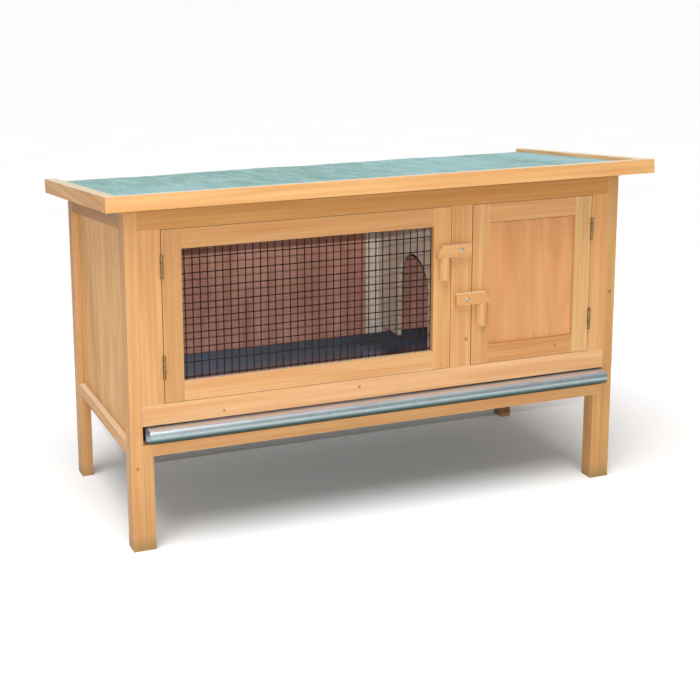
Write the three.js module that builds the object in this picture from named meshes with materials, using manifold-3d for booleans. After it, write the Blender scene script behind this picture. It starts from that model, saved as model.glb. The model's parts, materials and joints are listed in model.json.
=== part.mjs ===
// Small garden rabbit hutch: a run behind a wire-mesh door, a nest behind a solid door, one pull-out
// tray under both, and a felted lean-to roof. Millimetres, +Z up, front faces -Y.
// Layout coordinates: x from the left outer face, y from the front face back, z from the ground.
import * as THREE from "three";
import { mergeVertices } from "three/addons/utils/BufferGeometryUtils.js";
import Module from "manifold-3d";

const wasm = await Module();
wasm.setup();

// ---- driving dimensions ----------------------------------------------------------------------
const WIDTH = 890; // body, outside the corner posts
const DEPTH = 400; // body, front face to rear face
const GAP = 0.3; // clearance between pieces that touch
const STOCK = 20; // thickness of the frame timber
const BOARD = 32; // width of the frame timber
const FRONT_THICK = 18; // thickness of the front frame and the doors
const PLY = 6; // panel thickness
const SIDE_RECESS = 10; // panel face behind the post face

const SLOPE = 0.094; // roof fall per mm of depth
const ROOF_SIDE = 39; // overhang at each side
const ROOF_FRONT = 52; // overhang at the front
const ROOF_REAR = 1; // overhang at the rear
const ROOF_UNDER = 568.5; // underside height at the front edge of the roof
const BATTEN = { wide: 20, high: 24 };
const ROOF_BOARD = 15;
const FELT = 2.5;
const FELT_DRIP = 1; // height of the turned-down felt edge above the roof underside

const LEG_BLOCK = { wide: 16.5, deep: 29 }; // block that doubles each front leg
const BASE_RAIL = { z0: 159, z1: 178 };
const LOWER_RAIL = { z0: 210, z1: 244 };
const SIDE_RAIL = { z0: 157.5, z1: 177.5 };
const DOOR_HEAD = 527; // lower edge of the front top rail
const SIDE_HEAD = 529.5; // lower edge of the end top rails, at the front face
const LEFT_STILE = 57; // right edge of the left stile
const MIDDLE = { x0: 563.5, x1: 602 }; // middle post
const RIGHT_STILE = 838; // left edge of the right stile

const DOOR_GAP = { hinge: 1.4, meshEdge: 1.4, solidEdge: 2, ends: 1 }; // around each door
const HINGE = { tall: 38, inset: 41, leaf: 1, wide: 12, lap: 0.1, apart: 0.3 }; // lap joins its pieces
const BARREL = { y: -2.8, radius: 2.5, bore: 1.3, pin: 1, proud: 1, gap: 0.4 };
const BARREL_BREAKS = [12.6, 25.4]; // heights where the barrel changes leaf

const WIRE = { pitchX: 12.7, pitchZ: 24.4, cellsX: 37, cellsZ: 9, size: 1.8, weld: 0.4 };
const WIRE_PLACE = { x: 72.7, y: 10, z: 279.8, stub: 9 }; // stub: upright ends below the last cross wire
const SOLID_PANEL = { y0: 5, y1: 10 };

const BUTTON = { thick: 10, high: 20, long: 45, short: 20, tip: 10, cut: 3, nose: 2, ease: 1, bore: 2.6 };
const SCREW = { head: 4.2, dome: 2.4, shank: 2.2, depth: 12, hole: 2.6 };
const SCREW_POINT = { taper: 5, end: 1.2, radius: 0.88 };
const UPPER_BUTTON = { x: 577, z: 451.5, side: -1 };
const LOWER_BUTTON = { x: 590, z: 365.5, side: 1 };
const PULL = { radius: 11, high: 39, meshX: 549.5, solidX: 622 }; // half-round section

const DIVIDER = { x: 597, z: 225 };
const DOORWAY = { y: 221.5, radius: 63.5, spring: 333 };
const REAR_STILE = { x0: 571, x1: 609 };

const TRAY = { x0: 26, x1: 868.5, y1: 378, z: 180, wall: 27.5, sheet: 1.2, front: 4 };
const LIP = { reach: 24, radius: 11.5, tail: 3 };
const RUNNER = { wide: 14, high: 16 };
const STEPS = { circle: 20, bore: 16, doorway: 24, end: 14, dome: 6 }; // facets of round stretches

const FALL = Math.atan(SLOPE);
const HINGE_LINE = { mesh: LEFT_STILE + DOOR_GAP.hinge / 2, solid: RIGHT_STILE - DOOR_GAP.hinge / 2 };
const MID_X = WIDTH / 2;
const MID_Y = (DEPTH + ROOF_REAR + BATTEN.high * Math.sin(FALL) - ROOF_FRONT) / 2;

// ---- finishes --------------------------------------------------------------------------------
const FINISH = {
  fir: { color: 0xd9a066, roughness: 0.65, metalness: 0 },
  plywood: { color: 0xd09a70, roughness: 0.7, metalness: 0 },
  rear_plywood: { color: 0x96604f, roughness: 0.75, metalness: 0 },
  pale_plywood: { color: 0xb8a999, roughness: 0.75, metalness: 0 },
  felt: { color: 0x7fb0a8, roughness: 0.95, metalness: 0 },
  black_wire: { color: 0x1a1512, roughness: 0.5, metalness: 0.2 },
  galvanised: { color: 0xa9b8ba, roughness: 0.35, metalness: 0.9 },
  brassed: { color: 0x9a8648, roughness: 0.4, metalness: 0.9 },
  zinc: { color: 0xb9b3a3, roughness: 0.35, metalness: 0.9 },
};

const group = new THREE.Group();

// ---- helpers ---------------------------------------------------------------------------------
function add(name, geometry, finish) {
  const mesh = new THREE.Mesh(geometry, new THREE.MeshStandardMaterial(FINISH[finish]));
  mesh.name = name;
  mesh.position.set(-MID_X, -MID_Y, 0);
  group.add(mesh);
  return mesh;
}

function block([x0, x1], [y0, y1], [z0, z1]) {
  const g = new THREE.BoxGeometry(x1 - x0, y1 - y0, z1 - z0);
  g.translate((x0 + x1) / 2, (y0 + y1) / 2, (z0 + z1) / 2);
  return g;
}

function shape(points, holes = []) {
  const s = new THREE.Shape(points.map(([a, b]) => new THREE.Vector2(a, b)));
  s.holes = holes.map((h) => new THREE.Path(h.map(([a, b]) => new THREE.Vector2(a, b))));
  return s;
}

function extrude(outline, depth) {
  return new THREE.ExtrudeGeometry(outline, { depth, bevelEnabled: false, curveSegments: 12 });
}

// profile points are (y, z), run along x from x0 to x1
function alongX(outline, x0, x1) {
  const g = extrude(outline, x1 - x0);
  g.applyMatrix4(new THREE.Matrix4().set(0, 0, 1, x0, 1, 0, 0, 0, 0, 1, 0, 0, 0, 0, 0, 1));
  return g;
}

// profile points are (x, z), run along y from y0 to y1
function alongY(outline, y0, y1) {
  const g = extrude(outline, y1 - y0);
  g.applyMatrix4(new THREE.Matrix4().set(1, 0, 0, 0, 0, 0, -1, y1, 0, 1, 0, 0, 0, 0, 0, 1));
  return g;
}

// profile points are (x, y), run up z from z0 to z1
function alongZ(outline, z0, z1) {
  const g = extrude(outline, z1 - z0);
  g.translate(0, 0, z0);
  return g;
}

function arc(cx, cy, r, from, to, steps) {
  return Array.from({ length: steps + 1 }, (_, i) => {
    const t = THREE.MathUtils.degToRad(from + ((to - from) * i) / steps);
    return [cx + r * Math.cos(t), cy + r * Math.sin(t)];
  });
}

function circle(cx, cy, r, steps = STEPS.circle) {
  return arc(cx, cy, r, 0, 360 - 360 / steps, steps - 1);
}

function toManifold(geometry) {
  const bare = new THREE.BufferGeometry();
  bare.setAttribute("position", geometry.getAttribute("position"));
  if (geometry.index) bare.setIndex(geometry.index);
  const welded = mergeVertices(bare, 1e-4);
  return new wasm.Manifold(
    new wasm.Mesh({
      numProp: 3,
      vertProperties: new Float32Array(welded.getAttribute("position").array),
      triVerts: new Uint32Array(welded.index.array),
    }),
  );
}

function fromManifold(manifold) {
  const mesh = manifold.getMesh();
  const g = new THREE.BufferGeometry();
  g.setAttribute("position", new THREE.BufferAttribute(new Float32Array(mesh.vertProperties), 3));
  g.setIndex(new THREE.BufferAttribute(new Uint32Array(mesh.triVerts), 1));
  const flat = g.toNonIndexed();
  flat.computeVertexNormals();
  return flat;
}

function union(...geometries) {
  return fromManifold(geometries.map(toManifold).reduce((a, b) => a.add(b)));
}

function subtract(body, ...cutters) {
  return fromManifold(cutters.map(toManifold).reduce((a, b) => a.subtract(b), toManifold(body)));
}

// ---- heights that follow the roof ------------------------------------------------------------
function roofUnder(y) {
  return ROOF_UNDER - SLOPE * (y + ROOF_FRONT);
}

function headAt(y) {
  return SIDE_HEAD - SLOPE * y;
}

// a piece whose top edge follows the roof, from y0 to y1
function slopedTop(y0, y1, z0) {
  return shape([
    [y0, z0],
    [y1, z0],
    [y1, roofUnder(y1) - GAP],
    [y0, roofUnder(y0) - GAP],
  ]);
}

// ---- end frames ------------------------------------------------------------------------------
function endFrame(side, mirror) {
  const span = (a, b) => (mirror ? [WIDTH - b, WIDTH - a] : [a, b]);
  const [x0, x1] = span(0, STOCK);
  const back = DEPTH - BOARD;
  const y0 = BOARD + GAP;
  const y1 = back - GAP;
  add(`${side}_front_post`, alongX(slopedTop(0, BOARD, 0), x0, x1), "fir");
  add(`${side}_rear_post`, alongX(slopedTop(back, DEPTH, 0), x0, x1), "fir");
  add(`${side}_base_rail`, block([x0, x1], [y0, y1], [SIDE_RAIL.z0, SIDE_RAIL.z1]), "fir");
  const head = shape([
    [y0, headAt(y0)],
    [y1, headAt(y1)],
    [y1, roofUnder(y1) - GAP],
    [y0, roofUnder(y0) - GAP],
  ]);
  add(`${side}_top_rail`, alongX(head, x0, x1), "fir");
  const panel = shape([
    [y0, SIDE_RAIL.z1 + GAP],
    [y1, SIDE_RAIL.z1 + GAP],
    [y1, headAt(y1) - GAP],
    [y0, headAt(y0) - GAP],
  ]);
  add(`${side}_panel`, alongX(panel, ...span(SIDE_RECESS, SIDE_RECESS + PLY)), "plywood");
  const runner = span(STOCK + GAP, STOCK + GAP + RUNNER.wide);
  const top = TRAY.z - GAP;
  const reach = [FRONT_THICK + GAP, DEPTH - STOCK - GAP];
  add(`${side}_tray_runner`, block(runner, reach, [top - RUNNER.high, top]), "fir");
  const leg = span(STOCK + GAP, STOCK + GAP + LEG_BLOCK.wide);
  add(`${side}_leg_block`, block(leg, [0, LEG_BLOCK.deep], [0, BASE_RAIL.z0 - GAP]), "fir");
}

// ---- front frame -----------------------------------------------------------------------------
function frontFrame() {
  const full = [STOCK + GAP, WIDTH - STOCK - GAP];
  const thick = [0, FRONT_THICK];
  const between = [LOWER_RAIL.z1 + GAP, DOOR_HEAD - GAP];
  const headTop = roofUnder(FRONT_THICK) - GAP;
  add("front_top_rail", block(full, thick, [DOOR_HEAD, headTop]), "fir");
  add("front_lower_rail", block(full, thick, [LOWER_RAIL.z0, LOWER_RAIL.z1]), "fir");
  add("front_base_rail", block(full, thick, [BASE_RAIL.z0, BASE_RAIL.z1]), "fir");
  add("front_left_stile", housed([full[0], LEFT_STILE], thick, between, HINGE_LINE.mesh), "fir");
  add("front_right_stile", housed([RIGHT_STILE, full[1]], thick, between, HINGE_LINE.solid), "fir");
  const outline = [
    [MIDDLE.x0, between[0]],
    [MIDDLE.x1, between[0]],
    [MIDDLE.x1, between[1]],
    [MIDDLE.x0, between[1]],
  ];
  const bores = [UPPER_BUTTON, LOWER_BUTTON].map((b) => circle(b.x, b.z, SCREW.hole, STEPS.bore));
  add("front_middle_post", alongY(shape(outline, bores), ...thick), "fir");
}

// ---- rear wall and divider -------------------------------------------------------------------
function rearWall() {
  const full = [STOCK + GAP, WIDTH - STOCK - GAP];
  const thick = [DEPTH - STOCK, DEPTH];
  const head = headAt(DEPTH);
  const top = slopedTop(...thick, head);
  const inner = [SIDE_RAIL.z1 + GAP, head - GAP];
  const sheet = [DEPTH - SIDE_RECESS - PLY, DEPTH - SIDE_RECESS];
  add("rear_top_rail", alongX(top, ...full), "fir");
  add("rear_base_rail", block(full, thick, [SIDE_RAIL.z0, SIDE_RAIL.z1]), "fir");
  add("rear_stile", block([REAR_STILE.x0, REAR_STILE.x1], thick, inner), "fir");
  const left = [full[0], REAR_STILE.x0 - GAP];
  const right = [REAR_STILE.x1 + GAP, full[1]];
  add("rear_panel_run", block(left, sheet, inner), "rear_plywood");
  add("rear_panel_nest", block(right, sheet, inner), "rear_plywood");
}

function divider() {
  const y0 = FRONT_THICK + GAP;
  const y1 = DEPTH - STOCK - GAP;
  const { y, radius, spring } = DOORWAY;
  const outline = [
    [y0, DIVIDER.z],
    [y - radius, DIVIDER.z],
    ...arc(y, spring, radius, 180, 0, STEPS.doorway),
    [y + radius, DIVIDER.z],
    [y1, DIVIDER.z],
    [y1, roofUnder(y1) - GAP],
    [y0, roofUnder(y0) - GAP],
  ];
  add("divider", alongX(shape(outline), DIVIDER.x, DIVIDER.x + PLY), "pale_plywood");
}

// ---- roof ------------------------------------------------------------------------------------
function roof() {
  const wide = WIDTH + 2 * ROOF_SIDE;
  const long = (ROOF_FRONT + DEPTH + ROOF_REAR) / Math.cos(FALL);
  const place = new THREE.Matrix4()
    .makeTranslation(-ROOF_SIDE, -ROOF_FRONT, ROOF_UNDER)
    .multiply(new THREE.Matrix4().makeRotationX(-FALL));
  const fit = (geometry) => geometry.applyMatrix4(place);
  const tall = [0, BATTEN.high];
  const v0 = BATTEN.wide + GAP;
  const inside = [v0, wide - v0];
  const boardEnd = long - FELT - GAP;
  add("roof_front_batten", fit(block([0, wide], [0, BATTEN.wide], tall)), "fir");
  add("roof_left_batten", fit(block([0, BATTEN.wide], [v0, long], tall)), "fir");
  add("roof_right_batten", fit(block([wide - BATTEN.wide, wide], [v0, long], tall)), "fir");
  add("roof_board", fit(block(inside, [v0, boardEnd], [0, ROOF_BOARD])), "plywood");
  const under = ROOF_BOARD + GAP;
  const top = under + FELT;
  const sheet = shape([
    [v0, under],
    [boardEnd + GAP, under],
    [boardEnd + GAP, FELT_DRIP],
    [long, FELT_DRIP],
    [long, top],
    [v0, top],
  ]);
  add("roof_felt", fit(alongX(sheet, ...inside)), "felt");
}

// ---- hinges ----------------------------------------------------------------------------------
const HINGE_FEET = {
  upper: DOOR_HEAD - HINGE.inset - HINGE.tall,
  lower: LOWER_RAIL.z1 + HINGE.inset,
};

// a stile with shallow housings for the hinge leaves around the hinge line at axisX
function housed([x0, x1], thick, [z0, z1], axisX) {
  const half = HINGE.apart / 2 + HINGE.leaf + GAP;
  const cutters = Object.values(HINGE_FEET).map((z) =>
    block([axisX - half, axisX + half], [-GAP, HINGE.wide + GAP], [z - GAP, z + HINGE.tall + GAP]),
  );
  return subtract(block([x0, x1], thick, [z0, z1]), ...cutters);
}

// the stile edge is at x = 0 and the door lies toward +x; the barrel stands in front of the face
function hingeLeaves(z) {
  const axisX = DOOR_GAP.hinge / 2;
  const [a, b] = BARREL_BREAKS.map((h) => z + h);
  const half = BARREL.gap / 2;
  const plate = (x0, inward) => {
    const x1 = x0 + HINGE.leaf;
    return {
      sheet: block([x0, x1], [HINGE.lap, HINGE.wide], [z, z + HINGE.tall]),
      tab: (z0, z1) => block([x0, x1], [BARREL.y + inward, 2 * HINGE.lap], [z0, z1]),
    };
  };
  const barrel = (z0, z1, bore) => {
    const holes = bore ? [circle(axisX, BARREL.y, bore, STEPS.bore)] : [];
    return alongZ(shape(circle(axisX, BARREL.y, BARREL.radius), holes), z0, z1);
  };
  const fixed = plate(axisX - HINGE.apart / 2 - HINGE.leaf, 0);
  const moving = plate(axisX + HINGE.apart / 2, BARREL.bore + HINGE.lap);
  const pin = barrelPin(axisX, z);
  return {
    fixed: union(
      fixed.sheet,
      fixed.tab(z, a - half),
      fixed.tab(b + half, z + HINGE.tall),
      barrel(z, a - half),
      barrel(b + half, z + HINGE.tall),
      pin,
    ),
    moving: union(moving.sheet, moving.tab(a + half, b - half), barrel(a + half, b - half, BARREL.bore)),
  };
}

function barrelPin(axisX, z) {
  const outline = shape(circle(axisX, BARREL.y, BARREL.pin, STEPS.bore));
  return alongZ(outline, z - BARREL.proud, z + HINGE.tall + BARREL.proud);
}

function flipX(geometry) {
  const g = geometry.clone().applyMatrix4(new THREE.Matrix4().makeScale(-1, 1, 1));
  const p = g.getAttribute("position");
  for (let i = 0; i < p.count; i += 3) {
    for (const axis of ["X", "Y", "Z"]) {
      const kept = p[`get${axis}`](i + 1);
      p[`set${axis}`](i + 1, p[`get${axis}`](i + 2));
      p[`set${axis}`](i + 2, kept);
    }
  }
  g.computeVertexNormals();
  return g;
}

function hinges(door, edge, mirror) {
  for (const [level, z] of Object.entries(HINGE_FEET)) {
    for (const [leaf, geometry] of Object.entries(hingeLeaves(z))) {
      const g = mirror ? flipX(geometry) : geometry;
      add(`${door}_${level}_hinge_${leaf}`, g.translate(edge, 0, 0), "brassed");
    }
  }
}

// ---- doors -----------------------------------------------------------------------------------
function doorFrame(door, x0, x1, hingeLine, trim = (piece) => piece) {
  const z0 = LOWER_RAIL.z1 + DOOR_GAP.ends;
  const z1 = DOOR_HEAD - DOOR_GAP.ends;
  const thick = [0, FRONT_THICK];
  const rail = [x0 + BOARD + GAP, x1 - BOARD - GAP];
  const stile = (a, b) => trim(housed([a, b], thick, [z0, z1], hingeLine));
  add(`${door}_left_stile`, stile(x0, x0 + BOARD), "fir");
  add(`${door}_right_stile`, stile(x1 - BOARD, x1), "fir");
  add(`${door}_bottom_rail`, trim(block(rail, thick, [z0, z0 + BOARD])), "fir");
  add(`${door}_top_rail`, trim(block(rail, thick, [z1 - BOARD, z1])), "fir");
  return { x: [rail[0], rail[1]], z: [z0 + BOARD + GAP, z1 - BOARD - GAP] };
}

// outer edges of the welded mesh, across and up
function meshSpan() {
  const half = WIRE.size / 2;
  const { x, z, stub } = WIRE_PLACE;
  return {
    x: [x - half, x + WIRE.cellsX * WIRE.pitchX + half],
    z: [z - half - stub, z + WIRE.cellsZ * WIRE.pitchZ + half],
  };
}

// recess in the back of the door frame that takes the edges of the mesh
function meshRebate() {
  const grow = ([a, b]) => [a - GAP, b + GAP];
  const span = meshSpan();
  return block(grow(span.x), [WIRE_PLACE.y - GAP, FRONT_THICK + GAP], grow(span.z));
}

// welded mesh: upright wires in front, cross wires behind, sunk a little into each other
function wireMesh() {
  const { pitchX, pitchZ, size, weld, cellsX, cellsZ } = WIRE;
  const { x, y, z } = WIRE_PLACE;
  const half = size / 2;
  const front = [y, y + size];
  const behind = [y + size - weld, y + 2 * size - weld];
  const span = meshSpan();
  const upright = (i) => block([x + i * pitchX - half, x + i * pitchX + half], front, span.z);
  const cross = (j) => block(span.x, behind, [z + j * pitchZ - half, z + j * pitchZ + half]);
  const wires = [
    ...Array.from({ length: cellsX + 1 }, (_, i) => upright(i)),
    ...Array.from({ length: cellsZ + 1 }, (_, j) => cross(j)),
  ];
  add("mesh_door_wire", union(...wires), "black_wire");
}

// a pull of half-round moulding under the long arm of a turn button
function pull(name, x, z) {
  const outline = arc(x, -GAP, PULL.radius, 180, 360, STEPS.end);
  add(name, alongZ(shape(outline), z - PULL.high, z), "fir");
}

function doors() {
  const rebate = meshRebate();
  const trim = (piece) => subtract(piece, rebate);
  const meshEdges = [LEFT_STILE + DOOR_GAP.hinge, MIDDLE.x0 - DOOR_GAP.meshEdge];
  doorFrame("mesh_door", ...meshEdges, HINGE_LINE.mesh, trim);
  wireMesh();
  pull("mesh_door_pull", PULL.meshX, UPPER_BUTTON.z - BUTTON.high / 2 - GAP);
  hinges("mesh_door", LEFT_STILE, false);
  const edges = [MIDDLE.x1 + DOOR_GAP.solidEdge, RIGHT_STILE - DOOR_GAP.hinge];
  const hole = doorFrame("solid_door", ...edges, HINGE_LINE.solid);
  add("solid_door_panel", block(hole.x, [SOLID_PANEL.y0, SOLID_PANEL.y1], hole.z), "plywood");
  pull("solid_door_pull", PULL.solidX, LOWER_BUTTON.z - BUTTON.high / 2 - GAP);
  hinges("solid_door", RIGHT_STILE, true);
}

// ---- turn buttons ----------------------------------------------------------------------------
function turnButton(name, { x, z, side }) {
  const { high, long, short, tip, cut, nose, ease, bore } = BUTTON;
  const top = high / 2;
  const outline = [
    [-short, cut - top],
    [cut - short, -top],
    [long - nose, -top],
    [long, cut - top],
    [long - tip, top],
    [ease - short, top],
    [-short, top - ease],
  ].map(([a, b]) => [x + side * a, z + b]);
  const body = shape(outline, [circle(x, z, bore, STEPS.bore)]);
  const y1 = -GAP;
  const y0 = y1 - BUTTON.thick;
  add(`${name}_turn_button`, alongY(body, y0, y1), "fir");
  add(`${name}_button_screw`, screwAt(x, y0 - GAP, z), "zinc");
}

// a round-head screw lying along y, its head bearing at y = face
function screwAt(x, face, z) {
  const { head, dome, shank, depth } = SCREW;
  const length = depth + BUTTON.thick + 2 * GAP;
  const crown = Array.from({ length: STEPS.dome - 1 }, (_, i) => {
    const t = ((i + 1) / STEPS.dome) * (Math.PI / 2);
    return new THREE.Vector2(head * Math.cos(t), dome * Math.sin(t));
  });
  const profile = [
    new THREE.Vector2(0, -length),
    new THREE.Vector2(SCREW_POINT.radius, SCREW_POINT.end - length),
    new THREE.Vector2(shank, SCREW_POINT.taper - length),
    new THREE.Vector2(shank, 0),
    new THREE.Vector2(head, 0),
    ...crown,
    new THREE.Vector2(0, dome),
  ];
  const g = new THREE.LatheGeometry(profile, STEPS.circle);
  g.rotateX(Math.PI);
  g.translate(x, face, z);
  return g;
}

// ---- tray ------------------------------------------------------------------------------------
// a folded pan, divided at its folds; its front turns out and rolls down into a rounded lip
function tray() {
  const { x0, x1, y1, z, wall, sheet, front } = TRAY;
  const top = z + wall;
  const sides = [z + sheet + GAP, top];
  const behindFront = [front + sheet + GAP, y1];
  const betweenSides = [x0 + sheet + GAP, x1 - sheet - GAP];
  add("tray_floor", block([x0, x1], [front, y1], [z, z + sheet]), "galvanised");
  add("tray_left_wall", block([x0, x0 + sheet], behindFront, sides), "galvanised");
  add("tray_right_wall", block([x1 - sheet, x1], behindFront, sides), "galvanised");
  add("tray_back_wall", block(betweenSides, [y1 - sheet, y1], sides), "galvanised");
  const { reach, radius, tail } = LIP;
  const cy = radius - reach;
  const cz = top - radius;
  const outline = [
    [front + sheet, sides[0]],
    [front + sheet, top],
    ...arc(cy, cz, radius, 90, 270, STEPS.end),
    [cy + tail, cz - radius],
    [cy + tail, cz - radius + sheet],
    ...arc(cy, cz, radius - sheet, 270, 90, STEPS.end),
    [front, top - sheet],
    [front, sides[0]],
  ];
  add("tray_front_lip", alongX(shape(outline), x0, x1), "galvanised");
}

endFrame("left", false);
endFrame("right", true);
frontFrame();
rearWall();
divider();
roof();
doors();
turnButton("upper", UPPER_BUTTON);
turnButton("lower", LOWER_BUTTON);
tray();

export default group;
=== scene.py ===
"""Looks for the rabbit hutch: timber, felt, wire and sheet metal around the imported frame.

Lengths are in metres with +Z up. Every material is made of procedural nodes.
"""

import json
import math
import random

import bmesh
import bpy
from mathutils import Euler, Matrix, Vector


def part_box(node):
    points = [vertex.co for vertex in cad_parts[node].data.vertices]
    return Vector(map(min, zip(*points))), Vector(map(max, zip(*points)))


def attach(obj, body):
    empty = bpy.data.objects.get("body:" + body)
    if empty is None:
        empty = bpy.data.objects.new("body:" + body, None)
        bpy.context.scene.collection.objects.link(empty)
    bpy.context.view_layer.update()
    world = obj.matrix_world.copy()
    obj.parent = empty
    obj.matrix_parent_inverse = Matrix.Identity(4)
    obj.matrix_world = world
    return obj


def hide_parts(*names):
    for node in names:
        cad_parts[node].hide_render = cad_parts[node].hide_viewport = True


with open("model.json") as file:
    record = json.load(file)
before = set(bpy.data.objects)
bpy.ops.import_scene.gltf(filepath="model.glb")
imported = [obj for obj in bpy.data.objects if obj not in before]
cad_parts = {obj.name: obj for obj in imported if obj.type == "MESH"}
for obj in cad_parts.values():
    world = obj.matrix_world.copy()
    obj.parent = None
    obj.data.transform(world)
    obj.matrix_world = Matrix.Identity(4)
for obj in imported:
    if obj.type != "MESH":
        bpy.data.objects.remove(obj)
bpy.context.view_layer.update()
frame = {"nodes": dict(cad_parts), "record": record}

MM = 0.001
NODES = frame["nodes"]
SLOT_OF = {s["node"]: s["material_slot"] for s in frame["record"]["subparts"]}


# ---- places worked out from the frame ----------------------------------------------------------
ROOF_FALL = 0.094  # drop per unit of depth
UNDER_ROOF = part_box("roof_board")[0].z + ROOF_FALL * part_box("roof_board")[1].y  # at y = 0
EAVE_SHADE_REACH = 55 * MM  # how far below the roof the painted shade reaches
TRAY_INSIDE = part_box("tray_floor")[0].y + 3.6 * MM


# ---- colours, linear ---------------------------------------------------------------------------
def srgb(code):
    """A hex colour as linear RGBA."""
    channels = [int(code[i : i + 2], 16) / 255 for i in (1, 3, 5)]
    return [c / 12.92 if c <= 0.04045 else ((c + 0.055) / 1.055) ** 2.4 for c in channels] + [1.0]


def times(colour, factors):
    """A linear colour with each of its channels multiplied."""
    return [c * f for c, f in zip(colour, factors)] + [1.0]


PINE_LIGHT = srgb("#cd9f69")
PINE_DARK = srgb("#c08a53")
PINE_LINE = srgb("#a06329")
PINE_WARM = srgb("#cf935b")
KNOT = srgb("#7a4a24")
WORN_EDGE_AND_HIGHLIGHT = srgb("#eccf9f")
PAINTED_TOP_LIGHT = srgb("#f3ead2")
FOOT_OLIVE = srgb("#5f5c38")
FOOT_BROWN = srgb("#8f6a38")
# Dark brown for painted shade, under the roof and round the door panel.
PAINTED_SHADE_BROWN = srgb("#7a5526")


# ---- node helpers ------------------------------------------------------------------------------
class Shader:
    """A material and short ways to add nodes to it."""

    def __init__(self, name):
        self.material = bpy.data.materials.new(name)
        self.material.use_nodes = True
        self.tree = self.material.node_tree
        self.tree.nodes.clear()
        self.out = self.tree.nodes.new("ShaderNodeOutputMaterial")
        self.bsdf = self.tree.nodes.new("ShaderNodeBsdfPrincipled")
        self.link(self.bsdf.outputs[0], self.out.inputs["Surface"])
        coordinates = self.tree.nodes.new("ShaderNodeTexCoord")
        self.where, self.facing = coordinates.outputs["Object"], coordinates.outputs["Normal"]

    def link(self, a, b):
        self.tree.links.new(a, b)

    def fill(self, node, **values):
        """Sets or links a node's inputs, by name or, as _0, _1 and so on, by number."""
        for name, value in values.items():
            socket = node.inputs[int(name[1:]) if name[0] == "_" else name]
            if isinstance(value, bpy.types.NodeSocket):
                self.link(value, socket)
            else:
                socket.default_value = value
        return node

    def math(self, operation, a, b=0.0, c=0.0, clamp=False):
        node = self.tree.nodes.new("ShaderNodeMath")
        node.operation = operation
        node.use_clamp = clamp
        return self.fill(node, _0=a, _1=b, _2=c).outputs[0]

    def ramp(self, value, low, high, to_low=0.0, to_high=1.0):
        """Takes value from low..high smoothly to to_low..to_high."""
        node = self.tree.nodes.new("ShaderNodeMapRange")
        node.interpolation_type = "SMOOTHSTEP"
        return self.fill(node, _0=value, _1=low, _2=high, _3=to_low, _4=to_high).outputs[0]

    def mix(self, share, a, b, blend="MIX"):
        node = self.tree.nodes.new("ShaderNodeMix")
        node.data_type = "RGBA"
        node.blend_type = blend
        return self.fill(node, _0=share, _6=a, _7=b).outputs[2]

    def mapped(self, vector, move=(0, 0, 0), turn=(0, 0, 0), scale=(1, 1, 1)):
        node = self.tree.nodes.new("ShaderNodeMapping")
        return self.fill(node, Vector=vector, Location=move, Rotation=turn, Scale=scale).outputs[0]

    def noise(self, vector, scale, detail=2.0, roughness=0.5, distortion=0.0):
        node = self.tree.nodes.new("ShaderNodeTexNoise")
        values = {"Scale": scale, "Detail": detail, "Roughness": roughness, "Distortion": distortion}
        return self.fill(node, Vector=vector, **values).outputs["Fac"]

    def cells(self, vector, scale, output="Distance"):
        node = self.tree.nodes.new("ShaderNodeTexVoronoi")
        return self.fill(node, Vector=vector, Scale=scale).outputs[output]

    def distance(self, point):
        node = self.tree.nodes.new("ShaderNodeVectorMath")
        node.operation = "DISTANCE"
        return self.fill(node, _0=self.where, _1=point).outputs["Value"]

    def upward(self, low, high):
        """0..1 as the surface turns from level low to level high, 1 being flat on top."""
        parts = self.fill(self.tree.nodes.new("ShaderNodeSeparateXYZ"), Vector=self.facing).outputs
        return self.ramp(parts[2], low, high)

    def painted_eave_shade(self, strength):
        """Painted shade under the roof's overhang, strongest close under the roof."""
        _, y, z = self.axes()
        level = self.math("MULTIPLY_ADD", y, ROOF_FALL, z)
        return self.ramp(level, UNDER_ROOF - EAVE_SHADE_REACH, UNDER_ROOF, 0.0, strength)

    def axes(self):
        node = self.tree.nodes.new("ShaderNodeSeparateXYZ")
        return self.fill(node, Vector=self.where).outputs

    def bump(self, height, strength, distance):
        node = self.tree.nodes.new("ShaderNodeBump")
        return self.fill(node, Height=height, Strength=strength, Distance=distance).outputs[0]

    def finish(self, colour, roughness, normal=None, **constants):
        """Connects the surface; the constants go straight onto the shader's own sockets."""
        self.fill(self.bsdf, **{"Base Color": colour, "Roughness": roughness})
        if normal:
            self.link(normal, self.bsdf.inputs["Normal"])
        for name, value in constants.items():
            self.bsdf.inputs[name.replace("_", " ")].default_value = value
        return self.material


# ---- timber ------------------------------------------------------------------------------------
PALE_EDGE_WIDTH = 1.1 * MM
FOOT_HEIGHT = 20 * MM  # a piece that reaches below this stands on the ground
GRAIN_TURN = {"x": (0, math.radians(90), 0), "y": (math.radians(90), 0, 0), "z": (0, 0, 0)}


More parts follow.
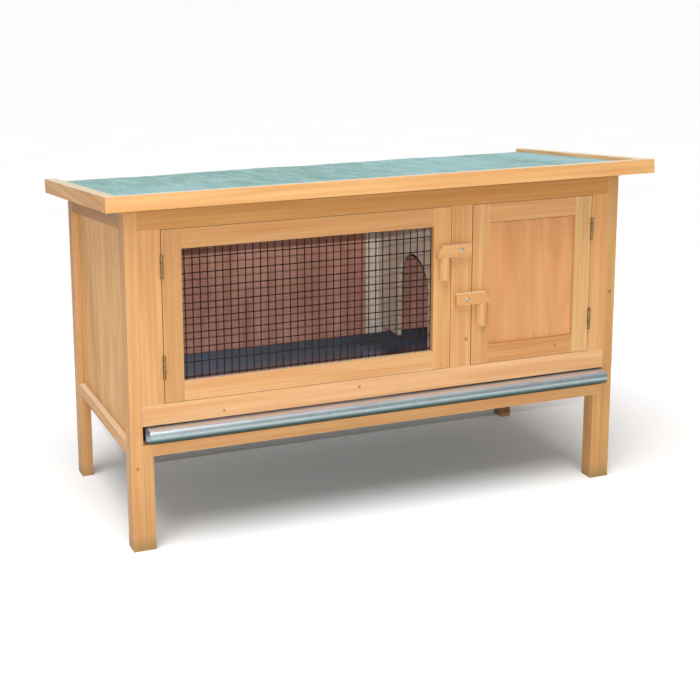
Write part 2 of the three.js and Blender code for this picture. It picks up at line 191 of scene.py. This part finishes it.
def timber(name, box, grain, seed, tone_and_light, edge_paleness, top_light=0.0, under_roof_shade=0.0, knots=()):
    """Softwood cut from a log: rings about a pith beside the board, fibres along it, edges paled by rubbing
    and painted highlight, knots; painted top light, painted shade under the roof, darker towards a foot.
    """
    rng = random.Random(seed)
    s = Shader(name)
    low, high = box
    turned = s.mapped(s.where, turn=GRAIN_TURN[grain])
    pith = [rng.uniform(-0.09, 0.09) for _ in range(2)]
    rings_per_metre = rng.uniform(80, 170)
    lean = [math.radians(rng.uniform(-0.8, 0.8)) for _ in range(2)]
    log = s.mapped(turned, move=(pith[0] + seed * 0.003, pith[1], 0.0), turn=(*lean, 0.0))
    late = late_wood(s, log, rings_per_metre)
    fibre = s.noise(s.mapped(turned, scale=(1, 1, 0.02)), 900.0, 3.0, 0.65)
    streaks = s.mapped(turned, move=(seed * 0.7, 0, 0), scale=(1, 1, 0.05))
    streak = s.noise(streaks, 62.0, 3.0, 0.55)
    patch = s.noise(s.mapped(turned, move=(seed, 0, 0), scale=(1, 1, 0.3)), 7.0, 2.0)

    body = s.mix(s.ramp(streak, 0.3, 0.7), PINE_LIGHT, PINE_DARK)
    body = s.mix(s.math("MULTIPLY", late, 0.16), body, PINE_LINE)
    body = s.mix(s.ramp(fibre, 0.5, 0.8, 0.0, 0.13), body, PINE_LINE)
    body = s.mix(s.ramp(patch, 0.35, 0.7, 0.0, 0.35), body, PINE_WARM)
    # Each board's own tone, with painted shade on some boards and painted light on others.
    body = s.mix(1.0, body, (*tone_and_light, 1.0), "MULTIPLY")
    # Painted top light: upward faces lightened as if lit from above.
    if top_light:
        top_lit = s.math("MULTIPLY", s.upward(0.3, 0.9), s.ramp(streak, 0.2, 0.8, top_light, 0.7 * top_light))
        body = s.mix(top_lit, body, PAINTED_TOP_LIGHT)
    for centre, size in knots:
        body = knot(s, body, centre, size, streak)
    # Painted shade under the roof's overhang, darkest close under the roof.
    if under_roof_shade:
        body = s.mix(s.painted_eave_shade(under_roof_shade), body, PAINTED_SHADE_BROWN)
    # Pale edges: partly rubbed wood, partly painted highlight along the arrises.
    worn_and_lit = edge_wear_and_highlight(s, low, high, PALE_EDGE_WIDTH, streak)
    body = s.mix(s.math("MULTIPLY", worn_and_lit, edge_paleness), body, WORN_EDGE_AND_HIGHLIGHT)
    # Darker towards the foot.
    if low.z < FOOT_HEIGHT:
        body = darker_toward_foot(s, body)

    height = s.math("ADD", s.math("MULTIPLY", fibre, 0.5), s.math("MULTIPLY", late, 0.35))
    normal = s.bump(height, 0.35, 0.25 * MM)
    rough = s.ramp(streak, 0.25, 0.8, 0.5, 0.68)
    return s.finish(body, rough, normal, Specular_IOR_Level=0.35)


def late_wood(s, log, rings_per_metre):
    """1 in the dark part of each growth ring, the rings wandering a little along the log."""
    drift = s.noise(s.mapped(log, scale=(9, 9, 1.4)), 1.0, 2.0)
    parts = s.fill(s.tree.nodes.new("ShaderNodeSeparateXYZ"), Vector=log).outputs
    squares = [s.math("POWER", parts[i], 2.0) for i in range(2)]
    radius = s.math("SQRT", s.math("ADD", *squares))
    wandering = s.math("MULTIPLY_ADD", drift, 0.012, radius)
    ring = s.math("FRACT", s.math("MULTIPLY", wandering, rings_per_metre))
    return s.math("MULTIPLY", s.ramp(ring, 0.2, 0.85), s.ramp(ring, 1.0, 0.88))


def knot(s, body, centre, size, wobble):
    """A dark knot with a browner ring of grain round it."""
    gap = s.math("DIVIDE", s.distance(centre), size)
    gap = s.math("MULTIPLY_ADD", s.math("SUBTRACT", wobble, 0.5), 0.5, gap)
    body = s.mix(s.ramp(gap, 2.6, 1.0, 0.0, 0.45), body, PINE_LINE)
    return s.mix(s.ramp(gap, 1.2, 0.5, 0.0, 0.75), body, KNOT)


def darker_toward_foot(s, body):
    """Darkens a leg towards its foot, brown and then olive close to the ground."""
    foot = s.math("ADD", s.axes()[2], s.math("MULTIPLY", s.noise(s.where, 60.0, 3.0), 0.03))
    body = s.mix(s.ramp(foot, 0.16, 0.05, 0.0, 0.16), body, FOOT_BROWN)
    return s.mix(s.ramp(foot, 0.045, 0.012, 0.0, 0.5), body, FOOT_OLIVE)


def edge_wear_and_highlight(s, low, high, width, wobble):
    """1 along the edges of a box-shaped piece, fading over width."""
    nearest = []
    for i, value in enumerate(s.axes()):
        a = s.math("SUBTRACT", value, low[i])
        b = s.math("SUBTRACT", high[i], value)
        nearest.append(s.math("MINIMUM", a, b))
    x, y, z = nearest
    smaller = s.math("MINIMUM", x, y)
    larger = s.math("MAXIMUM", x, y)
    second = s.math("MAXIMUM", smaller, s.math("MINIMUM", larger, z))
    reach = s.math("MULTIPLY_ADD", wobble, 1.6 * width, 0.2 * width)
    return s.math("SUBTRACT", 1.0, s.math("DIVIDE", second, reach), clamp=True)


def plywood(name, pale, deep, seed, grain="z", opening=None):
    """Rotary-cut veneer: wide wandering figure along the grain, short fine pores; given an opening, painted
    shade along its sides and under its top.
    """
    s = Shader(name)
    turned = s.mapped(s.where, turn=GRAIN_TURN[grain], move=(seed * 0.37, seed * 0.11, 0))
    sway = s.noise(s.mapped(turned, scale=(1, 1, 0.22)), 6.5, 2.0, 0.5, 0.6)
    contour = s.math("FRACT", s.math("MULTIPLY", sway, 9.0))
    line = s.math("MULTIPLY", s.ramp(contour, 0.3, 0.85), s.ramp(contour, 1.0, 0.88))
    pores = s.noise(s.mapped(turned, scale=(1, 1, 0.035)), 820.0, 3.0, 0.7)
    bands = s.noise(s.mapped(turned, scale=(1, 1, 0.12)), 34.0, 3.0)
    cloud = s.noise(s.mapped(turned, scale=(1, 1, 0.55)), 5.0, 2.0)
    figured = times(deep, (0.62, 0.56, 0.5))
    porous = times(deep, (0.5, 0.44, 0.38))
    clouded = times(pale, (1.12, 1.08, 1.02))

    body = s.mix(s.ramp(bands, 0.3, 0.7), pale, deep)
    body = s.mix(s.math("MULTIPLY", line, 0.16), body, figured)
    body = s.mix(s.ramp(pores, 0.52, 0.8, 0.0, 0.3), body, porous)
    body = s.mix(s.ramp(cloud, 0.4, 0.75, 0.0, 0.3), body, clouded)
    # Painted shade along the panel's sides and under the top rail, inside the recess.
    if opening:
        left, right, top = opening
        x, _, z = s.axes()
        sides = s.math("MINIMUM", s.math("SUBTRACT", x, left), s.math("SUBTRACT", right, x))
        body = s.mix(s.ramp(sides, 2.2 * MM, 0.6 * MM, 0.0, 0.4), body, PAINTED_SHADE_BROWN)
        above = s.math("SUBTRACT", top, z)
        body = s.mix(s.ramp(above, 4.0 * MM, 1.5 * MM, 0.0, 0.6), body, PAINTED_SHADE_BROWN)

    height = s.math("ADD", pores, s.math("MULTIPLY", line, 0.25))
    normal = s.bump(height, 0.3, 0.2 * MM)
    return s.finish(body, s.ramp(bands, 0.2, 0.8, 0.5, 0.7), normal, Specular_IOR_Level=0.3)


# ---- felt and metals ---------------------------------------------------------------------------
def mineral_felt():
    """Green roofing felt: coarse slate grit in a dark binder, mottled and faded by rain."""
    s = Shader("mineral_felt")
    grit = s.cells(s.where, 620.0)
    tint = s.tree.nodes.new("ShaderNodeSeparateColor")
    s.link(s.cells(s.where, 620.0, "Color"), tint.inputs[0])
    mottle = s.noise(s.mapped(s.where, scale=(1, 0.25, 1)), 38.0, 4.0, 0.7)
    fade = s.noise(s.mapped(s.where, scale=(1, 0.35, 1)), 5.0, 2.0)
    body = s.mix(s.ramp(mottle, 0.3, 0.7), srgb("#abd3d2"), srgb("#76a69e"))
    body = s.mix(s.ramp(tint.outputs[0], 0.55, 1.0, 0.0, 0.7), body, srgb("#dcecea"))
    body = s.mix(s.ramp(tint.outputs[1], 0.65, 1.0, 0.0, 0.6), body, srgb("#4f7a72"))
    body = s.mix(s.ramp(grit, 0.3, 0.65, 0.0, 0.35), body, srgb("#557a75"))
    body = s.mix(s.ramp(fade, 0.4, 0.7, 0.0, 0.45), body, srgb("#a9d0da"))
    height = s.math("MULTIPLY_ADD", grit, -1.0, s.math("MULTIPLY", mottle, 0.6))
    return s.finish(body, s.ramp(tint.outputs[2], 0, 1, 0.82, 0.98), s.bump(height, 0.7, 0.8 * MM))


def galvanised():
    """Zinc-dipped sheet: faint spangle, dull patches, fine scratches along the run of the sheet; painted
    reflection inside, painted shade on walls and downward faces, painted light on upward faces.
    """
    s = Shader("galvanised_sheet")
    spangle = s.tree.nodes.new("ShaderNodeSeparateColor")
    s.link(s.cells(s.where, 95.0, "Color"), spangle.inputs[0])
    dull = s.noise(s.where, 11.0, 4.0, 0.6)
    scratch = s.noise(s.mapped(s.where, scale=(0.03, 1, 1)), 700.0, 2.0, 0.6)
    body = s.mix(s.ramp(spangle.outputs[0], 0, 1), srgb("#b9c9cc"), srgb("#c3d2d5"))
    body = s.mix(s.ramp(dull, 0.35, 0.75, 0.0, 0.3), body, srgb("#a9bbbf"))
    # Painted reflection: a bluish tint inside the tray, standing for the dark interior it mirrors.
    body = s.mix(s.ramp(s.axes()[1], TRAY_INSIDE, TRAY_INSIDE + 6 * MM), body, srgb("#a6b9cd"))
    # Painted shade and painted reflection of the ground: dark teal on walls and downward faces.
    body = s.mix(s.upward(0.3, -0.6), body, srgb("#35524f"))
    # Painted light: upward faces paler, as if reflecting the sky.
    body = s.mix(s.upward(0.55, 0.95), body, srgb("#d3dcec"))
    rough = s.math("MULTIPLY_ADD", scratch, 0.06, s.ramp(dull, 0.3, 0.8, 0.3, 0.36))
    normal = s.bump(scratch, 0.06, 0.15 * MM)
    return s.finish(body, rough, normal, Metallic=0.9)


def black_wire():
    """Wire dipped in dark brown coating."""
    s = Shader("coated_wire")
    coat = s.noise(s.where, 240.0, 3.0)
    body = s.mix(s.ramp(coat, 0.35, 0.75), srgb("#271510"), srgb("#3a211a"))
    bumps = s.bump(coat, 0.3, 0.15 * MM)
    return s.finish(body, s.ramp(coat, 0.3, 0.8, 0.5, 0.75), bumps, Specular_IOR_Level=0.2)


def plated(name, bright, dark, rough, spots):
    """Small plated hardware: bright metal, dulled in blotches."""
    s = Shader(name)
    tarnish = s.noise(s.where, spots, 4.0, 0.65)
    body = s.mix(s.ramp(tarnish, 0.35, 0.72), bright, dark)
    finish_rough = s.ramp(tarnish, 0.3, 0.8, rough, rough + 0.3)
    return s.finish(body, finish_rough, s.bump(tarnish, 0.25, 0.1 * MM), Metallic=0.95)


# ---- mesh helpers ------------------------------------------------------------------------------
def add(name, data):
    obj = bpy.data.objects.new(name, data)
    bpy.context.scene.collection.objects.link(obj)
    return obj


def piece(name, bm, material, body, replaced):
    """Makes a smooth object that rides on a body, and stands for the CAD nodes it replaces."""
    mesh = bpy.data.meshes.new(name)
    bmesh.ops.recalc_face_normals(bm, faces=bm.faces)
    bm.to_mesh(mesh)
    bm.free()
    mesh.materials.append(material)
    for face in mesh.polygons:
        face.use_smooth = True
    obj = add(name, mesh)
    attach(obj, body)
    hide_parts(*replaced)
    return obj


def thicken(obj, thickness, offset):
    """Gives a sheet its thickness, from its surface inward at -1 or to both sides at 0."""
    m = obj.modifiers.new("thickness", "SOLIDIFY")
    m.thickness = thickness
    m.offset = offset


def bevel(obj, width, segments, angle=35):
    """Eases every edge sharper than the angle."""
    m = obj.modifiers.new("eased_edges", "BEVEL")
    m.width = width
    m.segments = segments
    m.limit_method = "ANGLE"
    m.angle_limit = math.radians(angle)
    m.harden_normals = True


def spread(start, end, count):
    """Evenly spaced values, both ends among them."""
    return [start + i * (end - start) / (count - 1) for i in range(count)]


def tube(bm, points, radii, sides=8):
    """A closed round rod through points, with its own radius at each."""
    rings = []
    for i, point in enumerate(points):
        ahead = points[min(i + 1, len(points) - 1)]
        behind = points[max(i - 1, 0)]
        along = (ahead - behind).normalized()
        across = along.orthogonal().normalized()
        other = along.cross(across)
        ring = []
        for k in range(sides):
            turn = 2 * math.pi * k / sides
            spoke = across * math.cos(turn) + other * math.sin(turn)
            ring.append(bm.verts.new(point + radii[i] * spoke))
        rings.append(ring)
    for a, b in zip(rings, rings[1:]):
        for k in range(sides):
            bm.faces.new((a[k], a[(k + 1) % sides], b[(k + 1) % sides], b[k]))
    bm.faces.new(rings[0][::-1])
    bm.faces.new(rings[-1])


# ---- pieces that stay as CAD made them ---------------------------------------------------------
PALE_PLY = (srgb("#f4ecdf"), srgb("#e6dbc8"))
DOOR_PLY = (srgb("#cc9662"), srgb("#c28755"))
SIDE_PLY = (srgb("#dcaa71"), srgb("#c89456"))
REAR_PLY = (srgb("#dfaa98"), srgb("#c58c79"))
STILE_PLY = (srgb("#f2eadf"), srgb("#e0d4c4"))
ROOF_PLY = (srgb("#d2a570"), srgb("#b78750"))
# The pieces cut from plywood.
PANELS = {
    "rear_stile": STILE_PLY,
    "left_panel": SIDE_PLY,
    "right_panel": SIDE_PLY,
    "solid_door_panel": DOOR_PLY,
    "divider": PALE_PLY,
    "rear_panel_run": REAR_PLY,
    "rear_panel_nest": REAR_PLY,
    "roof_board": ROOF_PLY,
}
# How a board's colour differs from the common one, as linear factors: partly each board's own tone, partly
# painted shade (the darker factors on boards under the roof) and painted light (the lighter factors on the
# battens and lower rails).
TONES_AND_PAINTED_LIGHT = {
    "front_top_rail": (0.85, 0.79, 0.56),
    "left_leg_block": (0.92, 0.9, 0.84),
    "right_leg_block": (0.94, 0.96, 0.9),
    "left_top_rail": (0.84, 0.82, 0.76),
    "roof_right_batten": (1.5, 1.68, 2.1),
    "front_lower_rail": (1.12, 1.2, 1.45),
    "mesh_door_bottom_rail": (1.05, 1.12, 1.25),
    "roof_front_batten": (1.06, 1.1, 1.1),
    "roof_left_batten": (1.0, 1.06, 1.15),
    "left_rear_post": (0.98, 0.98, 1.0),
    "mesh_door_left_stile": (0.87, 0.87, 0.85),
    "mesh_door_top_rail": (0.9, 0.89, 0.86),
    "solid_door_bottom_rail": (0.91, 0.85, 0.79),
    "solid_door_right_stile": (1.0, 1.14, 1.26),
    "right_front_post": (0.86, 0.88, 0.8),
    "solid_door_pull": (0.98, 1.0, 1.05),
}
# Wider eased edges, paler from rubbing and painted highlight; every other board has 1 mm.
EASED = {"roof_front_batten": 2.6 * MM, "roof_left_batten": 2.2 * MM, "roof_right_batten": 2.2 * MM}
# How strongly painted shade darkens a board close under the roof.
EAVE_SHADE_STRENGTH = {
    "front_top_rail": 0.4,
    "left_front_post": 0.4,
    "right_front_post": 0.4,
    "left_top_rail": 0.75,
    "right_top_rail": 0.75,
    "left_rear_post": 0.6,
    "right_rear_post": 0.6,
    "rear_top_rail": 0.5,
}
# How strongly a board's upward faces are lightened with painted top light.
PAINTED_TOP_LIGHT_SHARE = {
    "roof_front_batten": 0.95,
    "roof_left_batten": 0.85,
    "roof_right_batten": 0.85,
    "upper_turn_button": 0.6,
    "lower_turn_button": 0.6,
    "mesh_door_pull": 0.6,
    "solid_door_pull": 0.6,
    "mesh_door_bottom_rail": 0.3,
    "left_base_rail": 0.5,
}


def knots_in(node, *places):
    """Knots in a piece's front face, each by its share of the width and height and its radius in mm."""
    low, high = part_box(node)
    found = []
    for x, z, radius in places:
        centre = Vector((low.x + x * (high.x - low.x), low.y, low.z + z * (high.z - low.z)))
        found.append((centre, radius * MM))
    return found


KNOTS = {
    "left_front_post": knots_in("left_front_post", (0.5, 0.25, 2.0)),
    "front_middle_post": knots_in("front_middle_post", (0.78, 0.17, 2.2)),
    "front_lower_rail": knots_in("front_lower_rail", (0.44, 0.62, 1.8), (0.16, 0.3, 1.4)),
    "right_front_post": knots_in("right_front_post", (0.5, 0.62, 2.6)),
    "solid_door_bottom_rail": knots_in("solid_door_bottom_rail", (0.8, 0.5, 1.6)),
}


def dress(node, material, easing, segments):
    """Gives a CAD node its material and eases its edges."""
    obj = NODES[node]
    obj.data.materials.clear()
    obj.data.materials.append(material)
    bevel(obj, easing, segments)


def dress_timber(node, seed):
    """Board material, with its grain along the longest side."""
    low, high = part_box(node)
    size = high - low
    grain = "xyz"[max(range(3), key=lambda i: size[i])]
    level = random.Random(seed).uniform(0.97, 1.03)
    tone_and_light = TONES_AND_PAINTED_LIGHT.get(node, (level, level, level))
    edge_paleness = 0.55 if node in EASED else 0.2
    looks = (PAINTED_TOP_LIGHT_SHARE.get(node, 0.0), EAVE_SHADE_STRENGTH.get(node, 0.0), KNOTS.get(node, ()))
    material = timber(node, (low, high), grain, seed, tone_and_light, edge_paleness, *looks)
    dress(node, material, EASED.get(node, 1.0 * MM), 3)


def door_opening():
    """Left, right and top of the solid door's clear opening, where painted shade darkens the panel's edges.
    """
    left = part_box("solid_door_left_stile")[1].x
    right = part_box("solid_door_right_stile")[0].x
    return left, right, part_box("solid_door_top_rail")[0].z


def dress_panel(node, seed):
    """Plywood material, with its figure upright except on the roof board."""
    grain = "x" if node == "roof_board" else "z"
    opening = door_opening() if node == "solid_door_panel" else None
    dress(node, plywood(node, *PANELS[node], seed, grain, opening), 0.4 * MM, 1)


def dress_cad():
    """Dresses every node but those that a piece below stands for."""
    brass = plated("brassed_steel", srgb("#a3865a"), srgb("#5c4932"), 0.38, 260.0)
    for seed, node in enumerate(sorted(NODES), 1):
        if node in PANELS:
            dress_panel(node, seed)
        elif SLOT_OF[node] == "fir":
            dress_timber(node, seed)
        elif SLOT_OF[node] == "brassed":
            dress(node, brass, 0.3 * MM, 2)


# ---- welded mesh -------------------------------------------------------------------------------
UPRIGHTS = 38
CROSSWIRES = 10
WIRE_RADIUS = 1.0 * MM
WIRE_INSET = 0.9 * MM  # from the sheet's edge to the first wire's middle
STUB = 9.0 * MM  # how far the uprights run on below the last cross wire
WELD_REACH = 1.6 * MM


def stations(crossings, start, end):
    """Where a wire gets a ring of points: its ends, its welds, beside them and half-way between."""
    found = [start]
    for a, b in zip(crossings, crossings[1:]):
        found += [a, a + WELD_REACH, (a + b) / 2, b - WELD_REACH]
    return found + [crossings[-1], end]


def wire(bm, crossings, start, end, place, bow, waves, swell):
    """One wire along start..end, bowed sideways and swollen at its welds; place(along, aside) is a point."""
    points, radii = [], []
    for along in stations(crossings, start, end):
        share = (along - start) / (end - start)
        welded = min(abs(along - c) for c in crossings) < 0.5 * MM
        points.append(place(along, bow * math.sin(share * waves)))
        radii.append(WIRE_RADIUS * (swell if welded else 1.0))
    tube(bm, points, radii)


def welded_mesh():
    """Round coated wires, slightly uneven, swollen where they are welded."""
    low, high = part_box("mesh_door_wire")
    rng = random.Random(11)
    columns = spread(low.x + WIRE_INSET, high.x - WIRE_INSET, UPRIGHTS)
    rows = spread(low.z + STUB + WIRE_INSET, high.z - WIRE_INSET, CROSSWIRES)
    front, behind = low.y + WIRE_RADIUS, high.y - WIRE_RADIUS
    bm = bmesh.new()
    for x in columns:
        bow = rng.uniform(-0.35, 0.35) * MM
        wire(bm, rows, low.z, high.z, lambda z, aside: Vector((x + aside, front, z)), bow, 5.1, 1.22)
    for z in rows:
        bow = rng.uniform(-0.3, 0.3) * MM
        wire(bm, columns, low.x, high.x, lambda x, aside: Vector((x, behind, z + aside)), bow, 7.3, 1.18)
    piece("welded_mesh", bm, black_wire(), "mesh_door", ["mesh_door_wire"])


# ---- roofing felt ------------------------------------------------------------------------------
FELT_COLUMNS = 150
FELT_ROWS = 66
FELT_THICKNESS = 2.0 * MM
# The rounded turn-down at the rear, row by row: degrees turned, then mm down, out and of raggedness.
TURN_ROWS = ((45, 0.9, 0.9, 0.0), (90, 2.0, 1.5, 0.0), (90, 7.0, 1.5, 0.0), (90, 13.0, 1.5, 0.6))


def felt_wave(x, share, phases):
    """How far the felt stands off its board: least at the front, in waves toward the rear."""
    ripple = math.sin(x * 19 + phases[0]) * 0.6 + math.sin(x * 43 + phases[1]) * 0.4
    broad = math.sin(x * 7 + phases[2]) * math.sin(share * 5 + phases[3])
    return max(0.0, 0.4 + 0.8 * share**3 * (0.7 + ripple) + 0.2 * broad) * MM


def roofing_felt():
    """One sheet laid on the board, a little proud in waves toward the rear, its edge turned down."""
    low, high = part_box("roof_felt")
    fall = high.y - low.y
    top = high.z - 0.3 * MM
    rng = random.Random(5)
    phases = [rng.uniform(0, 6.28) for _ in range(4)]

    bm = bmesh.new()
    grid = []
    for share in spread(0.0, 1.0, FELT_ROWS + 1):
        y = low.y + 0.6 * MM + share * (fall - 2.4 * MM)
        line = []
        for x in spread(low.x + 0.4 * MM, high.x - 0.4 * MM, FELT_COLUMNS + 1):
            z = top - ROOF_FALL * (y - low.y) + felt_wave(x, share, phases) - 0.3 * MM
            line.append(bm.verts.new((x, y, z)))
        grid.append(line)
    edge = [v.co.copy() for v in grid[-1]]
    for degrees, down, out, ragged in TURN_ROWS:
        reach = out * MM * math.sin(math.radians(degrees))
        line = []
        for x, y, z in edge:
            stray = ragged * MM * math.sin(x * 61 + phases[0])
            line.append(bm.verts.new((x, y + reach, z - down * MM + stray)))
        grid.append(line)
    for a, b in zip(grid, grid[1:]):
        for i in range(FELT_COLUMNS):
            bm.faces.new((a[i], a[i + 1], b[i + 1], b[i]))
    felt = piece("roofing_felt", bm, mineral_felt(), "hutch", ["roof_felt"])
    thicken(felt, FELT_THICKNESS, -1.0)


# ---- sheet-metal tray --------------------------------------------------------------------------
TRAY_NODES = ["tray_floor", "tray_left_wall", "tray_right_wall", "tray_back_wall", "tray_front_lip"]
TRAY_SHEET = 1.0 * MM
TRAY_SKIN = 0.6 * MM  # from a wall's outer face to the middle of its sheet
TRAY_BEND = 2.2 * MM
ROLL_RADIUS = 10.9 * MM


def arc_points(centre, radius, start, end, steps):
    angles = [math.radians(start + (end - start) * k / steps) for k in range(steps + 1)]
    return [(centre[0] + radius * math.cos(t), centre[1] + radius * math.sin(t)) for t in angles]


def strip_faces(bm, lines):
    """Joins each line of vertices to the next with a strip of faces."""
    for a, b in zip(lines, lines[1:]):
        for k in range(len(a) - 1):
            bm.faces.new((a[k], b[k], b[k + 1], a[k + 1]))


def tray_profile(front, rear, base, top, lip_front):
    """Rear wall, floor, front wall and rolled lip, as (y, z) points in one line."""
    centre = (lip_front + TRAY_SKIN + ROLL_RADIUS, top - ROLL_RADIUS)
    profile = [(rear, top)]
    profile += arc_points((rear - TRAY_BEND, base + TRAY_BEND), TRAY_BEND, 0, -90, 5)
    profile += arc_points((front + TRAY_BEND, base + TRAY_BEND), TRAY_BEND, -90, -180, 5)
    profile += arc_points((front - TRAY_BEND, top - TRAY_BEND), TRAY_BEND, 0, 90, 5)
    profile += arc_points(centre, ROLL_RADIUS, 90, 270, 40)
    return profile + [(centre[0] + 3 * MM, top - 2 * ROLL_RADIUS)]


def end_wall(x, inward, base, top):
    """A folded end: a flange on the floor, a bend and the wall, as (x, z) points."""
    foot = base + 1.3 * MM
    bend = arc_points((x + inward * TRAY_BEND, foot + TRAY_BEND), TRAY_BEND, -90, -90 - inward * 90, 5)
    return [(x + inward * 6 * MM, foot)] + bend[1:] + [(x, top - 2 * MM)]


def folded_tray():
    """One folded sheet: rear wall, floor, front wall and rolled lip in one profile, with folded ends."""
    floor_low, floor_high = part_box("tray_floor")
    lip_low, lip_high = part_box("tray_front_lip")
    left, right = floor_low.x + TRAY_SKIN, floor_high.x - TRAY_SKIN
    base, top = floor_low.z + TRAY_SKIN, lip_high.z - TRAY_SKIN
    rear, front = floor_high.y - TRAY_SKIN, floor_low.y + TRAY_SKIN
    profile = tray_profile(front, rear, base, top, lip_low.y)
    bm = bmesh.new()
    strip_faces(bm, [[bm.verts.new((x, y, z)) for y, z in profile] for x in spread(left, right, 61)])
    for x, inward in ((left, 1), (right, -1)):
        wall = end_wall(x, inward, base, top)
        depths = spread(front + 2 * MM, rear - 2 * MM, 41)
        strip_faces(bm, [[bm.verts.new((wx, y, wz)) for wx, wz in wall] for y in depths])
    tray = piece("folded_tray", bm, galvanised(), "tray", TRAY_NODES)
    thicken(tray, TRAY_SHEET, 0.0)
    bevel(tray, 0.25 * MM, 1, 60)


# ---- screws ------------------------------------------------------------------------------------
HEAD_RISE = 2.4 * MM
RECESS = {"half_width": 0.42 * MM, "reach": 2.5 * MM, "depth": 1.25 * MM, "runs_out": 3.0 * MM}


def recess_depth(u, v, out):
    """Depth of the cross recess at u, v from the middle of the head: deepest there."""
    in_cross = min(abs(u), abs(v)) < RECESS["half_width"] and out < RECESS["reach"]
    return RECESS["depth"] * (1 - out / RECESS["runs_out"]) if in_cross else 0.0


def screw_head(name, node):
    """A domed screw head with a cross recess."""
    low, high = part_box(node)
    x, z = (low.x + high.x) / 2, (low.z + high.z) / 2
    radius = (high.x - low.x) / 2
    seat = low.y + HEAD_RISE
    rings, sides = 18, 96
    bm = bmesh.new()
    middle = bm.verts.new((x, seat - HEAD_RISE + RECESS["depth"], z))
    lines = []
    for r in range(1, rings + 1):
        slant = r / rings * math.pi / 2
        out = radius * math.sin(slant)
        line = []
        for k in range(sides):
            turn = 2 * math.pi * k / sides + 0.5
            u, v = out * math.cos(turn), out * math.sin(turn)
            y = seat - HEAD_RISE * math.cos(slant) + recess_depth(u, v, out)
            line.append(bm.verts.new((x + u, y, z + v)))
        lines.append(line)
    for k in range(sides):
        bm.faces.new((middle, lines[0][k], lines[0][(k + 1) % sides]))
    for a, b in zip(lines, lines[1:]):
        for k in range(sides):
            n = (k + 1) % sides
            bm.faces.new((a[k], b[k], b[n], a[n]))
    bm.faces.new(lines[-1])
    finish = plated(name + "_zinc", srgb("#d5cdb8"), srgb("#93876a"), 0.26, 420.0)
    piece(name, bm, finish, "hutch", [node])


# ---- stage -------------------------------------------------------------------------------------
CAMERA_PLACE = (-0.98869, -2.36197, 0.98569)
CAMERA_PITCH = 12.322
CAMERA_YAW = -22.837
LENS = 76.106
FRAME_RISE = -0.14286
SKY = {"low": 0.19, "high": 0.27, "full_at": 0.9, "colour": (1.0, 0.99, 0.975, 1)}
KEY = {"direction": (-0.33, -0.5, 1.4), "strength": 2.95, "spread": 40}
LENS_LIGHT = {"watts": 104.0, "radius": 2.5 * MM, "above_camera": 77 * MM}
FLOOR_REACH = 40.0


def camera():
    data = bpy.data.cameras.new("camera")
    data.lens = LENS
    data.sensor_width = 36
    data.shift_y = FRAME_RISE
    data.clip_end = 60
    obj = add("camera", data)
    obj.location = CAMERA_PLACE
    obj.rotation_euler = Euler((math.radians(90 - CAMERA_PITCH), 0, math.radians(CAMERA_YAW)))
    bpy.context.scene.camera = obj


def sky():
    """A soft white room, a little brighter overhead."""
    world = bpy.data.worlds.new("studio")
    world.use_nodes = True
    nodes, links = world.node_tree.nodes, world.node_tree.links
    direction = nodes.new("ShaderNodeSeparateXYZ")
    links.new(nodes.new("ShaderNodeTexCoord").outputs["Generated"], direction.inputs[0])
    height = nodes.new("ShaderNodeMapRange")
    height.interpolation_type = "SMOOTHSTEP"
    for socket, value in enumerate((0.0, SKY["full_at"], SKY["low"], SKY["high"]), 1):
        height.inputs[socket].default_value = value
    links.new(direction.outputs["Z"], height.inputs[0])
    background = nodes["Background"]
    background.inputs["Color"].default_value = SKY["colour"]
    links.new(height.outputs[0], background.inputs["Strength"])
    bpy.context.scene.world = world


def lights():
    """A wide steep key, and a small lamp just above the lens that throws the mesh's shadows inward."""
    sky()
    key = bpy.data.lights.new("key", "SUN")
    key.energy = KEY["strength"]
    key.angle = math.radians(KEY["spread"])
    add("key", key).rotation_euler = Vector(KEY["direction"]).to_track_quat("Z", "Y").to_euler()
    lamp = bpy.data.lights.new("lens_light", "POINT")
    lamp.energy = LENS_LIGHT["watts"]
    lamp.shadow_soft_size = LENS_LIGHT["radius"]
    rise = Vector((0, 0, LENS_LIGHT["above_camera"]))
    add("lens_light", lamp).location = Vector(CAMERA_PLACE) + rise


def floor():
    """A pale floor, wide enough to reach the horizon of every view."""
    s = Shader("pale_floor")
    body = s.mix(s.noise(s.where, 3.0, 2.0), (0.9, 0.9, 0.9, 1), (0.93, 0.93, 0.93, 1))
    mesh = bpy.data.meshes.new("floor")
    corners = [(x * FLOOR_REACH, y * FLOOR_REACH, 0) for x, y in ((-1, -1), (1, -1), (1, 1), (-1, 1))]
    mesh.from_pydata(corners, [], [(0, 1, 2, 3)])
    mesh.materials.append(s.finish(body, 0.9))
    add("floor", mesh)


camera()
lights()
floor()
dress_cad()
welded_mesh()
roofing_felt()
folded_tray()
screw_head("upper_screw_head", "upper_button_screw")
screw_head("lower_screw_head", "lower_button_screw")
bpy.context.scene.view_settings.view_transform = "Standard"
